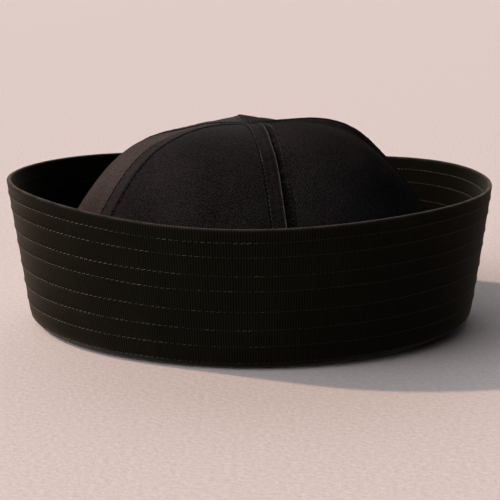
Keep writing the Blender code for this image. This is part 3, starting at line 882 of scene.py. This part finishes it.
def brim_relief(angle, path):
    """How far the quilted cloth stands off its fair face.

    It puffs between the rows, sinks in a groove along each row, deepest at the needle holes, and
    puckers a little beside the stitches. The leg and the flat foot have no relief.
    """
    below = np.abs(path)
    around = angle / (2 * np.pi) * BRIM_GIRTH
    rows = [np.broadcast_to(row_down(row, angle), below.shape) for row in range(len(ROWS_DOWN))]
    relief = np.zeros_like(below)
    for low, high in zip([np.zeros_like(below)] + rows[:-1], rows):
        share = (below - low) / (high - low)
        inside = (share > 0) & (share < 1)
        relief += np.where(inside, QUILT_PUFF * np.sin(np.pi * np.clip(share, 0, 1)) ** 0.8, 0)
    needle = 0.5 - 0.5 * np.cos(angle * BRIM_STITCHES)
    for row, middle in enumerate(rows):
        dent = np.exp(-(((below - middle) / QUILT_GROOVE_WIDTH) ** 2))
        relief -= QUILT_GROOVE * dent * (1 - QUILT_HOLES + QUILT_HOLES * needle)
        beside = np.exp(-(((below - middle) / (3 * QUILT_GROOVE_WIDTH)) ** 2))
        along = around + QUILT_PUCKER_SLANT * (below - middle)
        relief += QUILT_PUCKER * beside * wander(along, QUILT_PUCKER_LENGTH, 140 + row)
    sway = BRIM_SWAY * wander(around + BRIM_SWAY_SLANT * below, BRIM_SWAY_LENGTH, 160)
    relief += sway * np.sin(np.pi * np.clip(below / BRIM_HEIGHT, 0, 1))
    foot = ROWS_DOWN[-1] + FOOT_MARGIN
    return relief * np.clip((foot + FOOT_FADE - below) / FOOT_FADE, 0, 1)


def section_samples():
    """Paths at which the brim is cut: close together at the rows, rim and folds, wider between."""
    near_rows = [row + ROW_CUTS for row in ROWS_DOWN]
    between = (ROWS_DOWN[1:] + ROWS_DOWN[:-1]) / 2
    wall = np.concatenate([*near_rows, between, RIM_CUTS, [FOLD_FROM]])
    fold = np.arange(ROWS_DOWN[-1] + FOLD_FROM, section_length - ROWS_DOWN[-1] - FOLD_FROM, FOLD_STEP)
    inner = section_length - wall[wall > 0]
    return np.unique(np.round(np.concatenate([wall, fold, inner]), 7))


# The brim is cut at an even number of paths.
samples = section_samples()
samples = np.delete(samples, 1) if len(samples) % 2 else samples
signed = np.where(samples > section_length / 2, samples - section_length, samples)
angle = np.linspace(0, 2 * np.pi, BRIM_AROUND, endpoint=False)[:, None]
signed_grid = np.broadcast_to(signed, (BRIM_AROUND, len(signed)))
brim_sections = brim_points(angle, signed_grid, brim_relief(angle, signed_grid))
around = np.linspace(0, BRIM_GIRTH, BRIM_AROUND + 1)[:, None]
brim_map = np.stack(np.broadcast_arrays(around, np.append(samples, section_length)), axis=-1)

RIB_COUNT = 600
RIB_PITCH = BRIM_GIRTH / RIB_COUNT
RIB_RELIEF = 0.16 * MM
RIBS_WHOLE_TO = 45 * MM
RIBS_FLAT_FROM = 96 * MM
RIBS_LEFT = 0.12
PICK_LENGTH = 0.9 * MM
PICK_PITCH = 0.35 * MM
PICK_SHARE = 0.35
# Grey mixed in along the rim's folded top: wear, and a painted highlight where the fold catches the light.
FADED_AND_PAINTED_LIGHT_COTTON = "#6b635b"
RIM_WEAR_AND_HIGHLIGHT = 0.5
RIM_WEAR_AND_HIGHLIGHT_REACH = 0.9 * MM
RIM_PATCH = {"mean": 0.8, "spread": 0.3, "length": 9 * MM}


def ribbed_cotton(name, ground, worn):
    """Ribbed cotton with fine upright ribs 1.1 mm apart, black and matt, browner where it is worn.

    The ribs are pressed flat towards the cap's two ends, where it is handled.
    """
    made, tree, shader = start_cloth(name)
    cloth = add(tree, "ShaderNodeUVMap", uv_map="cloth").outputs["UV"]
    ribs = add(
        tree, "ShaderNodeTexWave",
        {"Vector": cloth, "Scale": bands_per_metre(RIB_PITCH), "Distortion": 0.7, "Detail": 2.0,
         "Detail Scale": 0.5, "Detail Roughness": 0.5},
        wave_type="BANDS", bands_direction="X", wave_profile="SIN",
    ).outputs["Fac"]
    picks_place = add(
        tree, "ShaderNodeMapping", {"Vector": cloth, "Scale": (1 / PICK_LENGTH, 1 / PICK_PITCH, 1)}
    ).outputs["Vector"]
    picks = add(
        tree, "ShaderNodeTexNoise", {"Vector": picks_place, "Scale": 1.0, "Detail": 2.0, "Roughness": 0.6}
    ).outputs["Fac"]
    place = add(tree, "ShaderNodeTexCoord").outputs["Object"]
    wear = add(
        tree, "ShaderNodeTexNoise", {"Vector": place, "Scale": 45.0, "Detail": 4.0, "Roughness": 0.6}
    ).outputs["Fac"]
    across = add(tree, "ShaderNodeSeparateXYZ", {"Vector": place}).outputs["X"]
    from_middle = add(tree, "ShaderNodeMath", {0: across}, operation="ABSOLUTE").outputs[0]
    standing = add(
        tree, "ShaderNodeMapRange",
        {"Value": from_middle, "From Min": RIBS_WHOLE_TO, "From Max": RIBS_FLAT_FROM,
         "To Min": 1.0, "To Max": RIBS_LEFT},
    ).outputs["Result"]
    ribs = add(tree, "ShaderNodeMath", {0: ribs, 1: standing}, operation="MULTIPLY").outputs[0]
    weave = add(
        tree, "ShaderNodeMath", {0: picks, 1: PICK_SHARE, 2: ribs}, operation="MULTIPLY_ADD"
    ).outputs[0]
    wear = add(tree, "ShaderNodeMath", {0: wear, 1: 0.4, 2: 0.3}, operation="MULTIPLY_ADD").outputs[0]
    tone = add(tree, "ShaderNodeMath", {0: weave, 1: 0.40, 2: wear}, operation="MULTIPLY_ADD").outputs[0]
    washed = colour_ramp(tree, tone, ((0.40, ground), (1.15, worn)))
    colour = wear_and_painted_light_colour(tree, washed, FADED_AND_PAINTED_LIGHT_COTTON, PAINTED_SHADE_BLACK)
    bump = add(tree, "ShaderNodeBump", {"Height": weave, "Distance": RIB_RELIEF, "Strength": 1.0})
    tree.links.new(colour, shader.inputs["Base Color"])
    tree.links.new(bump.outputs["Normal"], shader.inputs["Normal"])
    shader.inputs["Roughness"].default_value = 0.9
    shader.inputs["Specular IOR Level"].default_value = 0.0
    shader.inputs["Sheen Weight"].default_value = 0.20
    shader.inputs["Sheen Roughness"].default_value = 0.30
    shader.inputs["Sheen Tint"].default_value = linear("#fff0dc")
    return made


# Wear and painted highlight along the rim's folded top.
rim_wear_and_highlight = RIM_WEAR_AND_HIGHLIGHT * np.exp(-((signed_grid / RIM_WEAR_AND_HIGHLIGHT_REACH) ** 2))
rim_patches = RIM_PATCH["mean"] + RIM_PATCH["spread"] * wander(around[:-1], RIM_PATCH["length"], 170)
rim_wear_and_highlight = rim_wear_and_highlight * rim_patches
brim = loft("quilted_brim", brim_sections, brim_map, rim_wear_and_highlight, ring=True)
brim.data.materials.append(ribbed_cotton("ribbed_black_cotton", "#080805", "#171610"))
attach(brim, "root")
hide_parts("brim")

# Brim stitches
# Eight rows of lockstitch in brown-grey cotton thread, through both plies, so they show on the
# brim's outer face and on its inner face. Painted light makes the outer rows lighter towards the lit
# left and the inner rows lighter towards the lit right.

BRIM_THREAD = 0.125 * MM
BRIM_STITCH_SHARE = 0.66
STITCH_SLANT = 0.14 * MM
STITCH_JITTER = 0.05

# Painted light: each face's thread is lighter towards the side the light falls on.
outer_thread = cotton_thread("brown_grey_cotton_thread", "#1b1714", "#6a5e55", -3.0)
inner_thread = cotton_thread("grey_cotton_thread_painted_light_at_right", "#14110f", "#594f47", 3.0)
stitch_turn = 2 * np.pi / BRIM_STITCHES
span = np.linspace(-0.5, 0.5, STITCH_POINTS) * stitch_turn * BRIM_STITCH_SHARE
for face, sign, thread in (("outer", 1, outer_thread), ("inner", -1, inner_thread)):
    face_paths = []
    face_outwards = []
    for row in range(len(ROWS_DOWN)):
        uneven = np.random.default_rng(200 + row + 10 * sign).uniform(-1, 1, (2, BRIM_STITCHES, 1))
        turned = (np.arange(BRIM_STITCHES)[:, None] + STITCH_JITTER * uneven[0]) * stitch_turn + span
        slant = STITCH_SLANT * (1 + 0.5 * uneven[1]) * np.linspace(1, -1, STITCH_POINTS)
        path = sign * (row_down(row, turned) + slant)
        lift = brim_relief(turned, path) + BRIM_THREAD * stitch_rise
        paths = brim_points(turned, path, lift)
        face_paths.append(paths)
        face_outwards.append(brim_points(turned, path, lift + MM) - paths)
    stitches = threads(
        f"brim_stitches_{face}", np.concatenate(face_paths), np.concatenate(face_outwards), BRIM_THREAD
    )
    stitches.data.materials.append(thread)
    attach(stitches, "root")

# Floor
# A plain pale plaster floor, large enough to fill the picture behind the cap.

FLOOR_HALF = 9.0
SAND_GRAINS = 450.0
SAND_RELIEF = 0.3 * MM

floor_mesh = bpy.data.meshes.new("floor")
floor_corners = [(-FLOOR_HALF, -FLOOR_HALF, 0), (FLOOR_HALF, -FLOOR_HALF, 0)]
floor_corners += [(FLOOR_HALF, FLOOR_HALF, 0), (-FLOOR_HALF, FLOOR_HALF, 0)]
floor_mesh.from_pydata(floor_corners, [], [(0, 1, 2, 3)])
floor = bpy.data.objects.new("floor", floor_mesh)
bpy.context.scene.collection.objects.link(floor)
plaster, tree, shader = start_cloth("pale_plaster")
place = add(tree, "ShaderNodeTexCoord").outputs["Object"]
sand = add(
    tree, "ShaderNodeTexNoise", {"Vector": place, "Scale": SAND_GRAINS, "Detail": 3.0, "Roughness": 0.7}
).outputs["Fac"]
tree.links.new(colour_ramp(tree, sand, ((0.3, "#cfc4c1"), (0.7, "#e3d9d6"))), shader.inputs["Base Color"])
sand_bump = add(tree, "ShaderNodeBump", {"Height": sand, "Distance": SAND_RELIEF, "Strength": 0.6})
tree.links.new(sand_bump.outputs["Normal"], shader.inputs["Normal"])
shader.inputs["Roughness"].default_value = 0.9
shader.inputs["Specular IOR Level"].default_value = 0.1
floor_mesh.materials.append(plaster)

# Light
# A soft key light from the left and a little behind. Two broad soft windows, one at the front left and
# one at the back, fill the shade.

KEY_SHIFT = np.array([1.12, -0.30, -1.0])
KEY_SPREAD = np.radians(3)
KEY_STRENGTH = 1.92
WINDOWS = (
    {"from": (-0.80, -0.50, 0.35), "strength": 3.78},
    {"from": (-0.20, 0.95, 0.25), "strength": 2.65},
)
WINDOW_FOCUS = 5.0

key_data = bpy.data.lights.new("key", "SUN")
key_data.energy = KEY_STRENGTH
key_data.angle = KEY_SPREAD
key_data.color = linear("#ffdcc3")[:3]
key = bpy.data.objects.new("key", key_data)
bpy.context.scene.collection.objects.link(key)


def aim(thing, forward, up):
    """Turns a light or a camera so that its own -Z points forward and its own Y points up."""
    back = -np.asarray(forward) / np.linalg.norm(forward)
    right = np.cross(up, back)
    right /= np.linalg.norm(right)
    matrix = np.eye(4)
    matrix[:3, :3] = np.stack([right, np.cross(back, right), back], axis=1)
    matrix[:3, 3] = thing.location
    thing.matrix_world = Matrix(matrix.tolist())


aim(key, KEY_SHIFT, (0, 0, 1))
world = bpy.data.worlds.new("surround")
world.use_nodes = True
surround = world.node_tree.nodes["Background"]
surround.inputs["Color"].default_value = linear("#fafaff")
seen = add(world.node_tree, "ShaderNodeTexCoord").outputs["Generated"]
glow = 0.0
for window in WINDOWS:
    heading = np.array(window["from"]) / np.linalg.norm(window["from"])
    facing = add(
        world.node_tree, "ShaderNodeVectorMath", {0: seen, 1: heading.tolist()}, operation="DOT_PRODUCT"
    )
    ahead = add(world.node_tree, "ShaderNodeMath", {0: facing.outputs["Value"], 1: 0.0}, operation="MAXIMUM")
    lobe = add(world.node_tree, "ShaderNodeMath", {0: ahead.outputs[0], 1: WINDOW_FOCUS}, operation="POWER")
    glow = add(
        world.node_tree, "ShaderNodeMath", {0: lobe.outputs[0], 1: window["strength"], 2: glow},
        operation="MULTIPLY_ADD",
    ).outputs[0]
world.node_tree.links.new(glow, surround.inputs["Strength"])
bpy.context.scene.world = world

# Camera
# At the photograph's view: about 0.8 m in front of the cap and 10 degrees above it, turned slightly.

CAMERA_AT = np.array([0.0013, -0.77664, 0.17465])
CAMERA_TO = np.array([0.00041, 0.0022, 0.02954])
CAMERA_ROLL = np.radians(0.69)
LENS_MM = 125.7

lens = bpy.data.cameras.new("camera")
lens.lens = LENS_MM
lens.sensor_width = 36
lens.clip_start = 0.05
lens.clip_end = 60
camera = bpy.data.objects.new("camera", lens)
bpy.context.scene.collection.objects.link(camera)
camera.location = CAMERA_AT.tolist()
forward = CAMERA_TO - CAMERA_AT
level = np.cross(forward, (0, 0, 1))
level /= np.linalg.norm(level)
upright = np.cross(level, forward) / np.linalg.norm(forward)
aim(camera, forward, upright * np.cos(CAMERA_ROLL) - level * np.sin(CAMERA_ROLL))
bpy.context.scene.camera = camera
bpy.context.scene.view_settings.view_transform = "Standard"
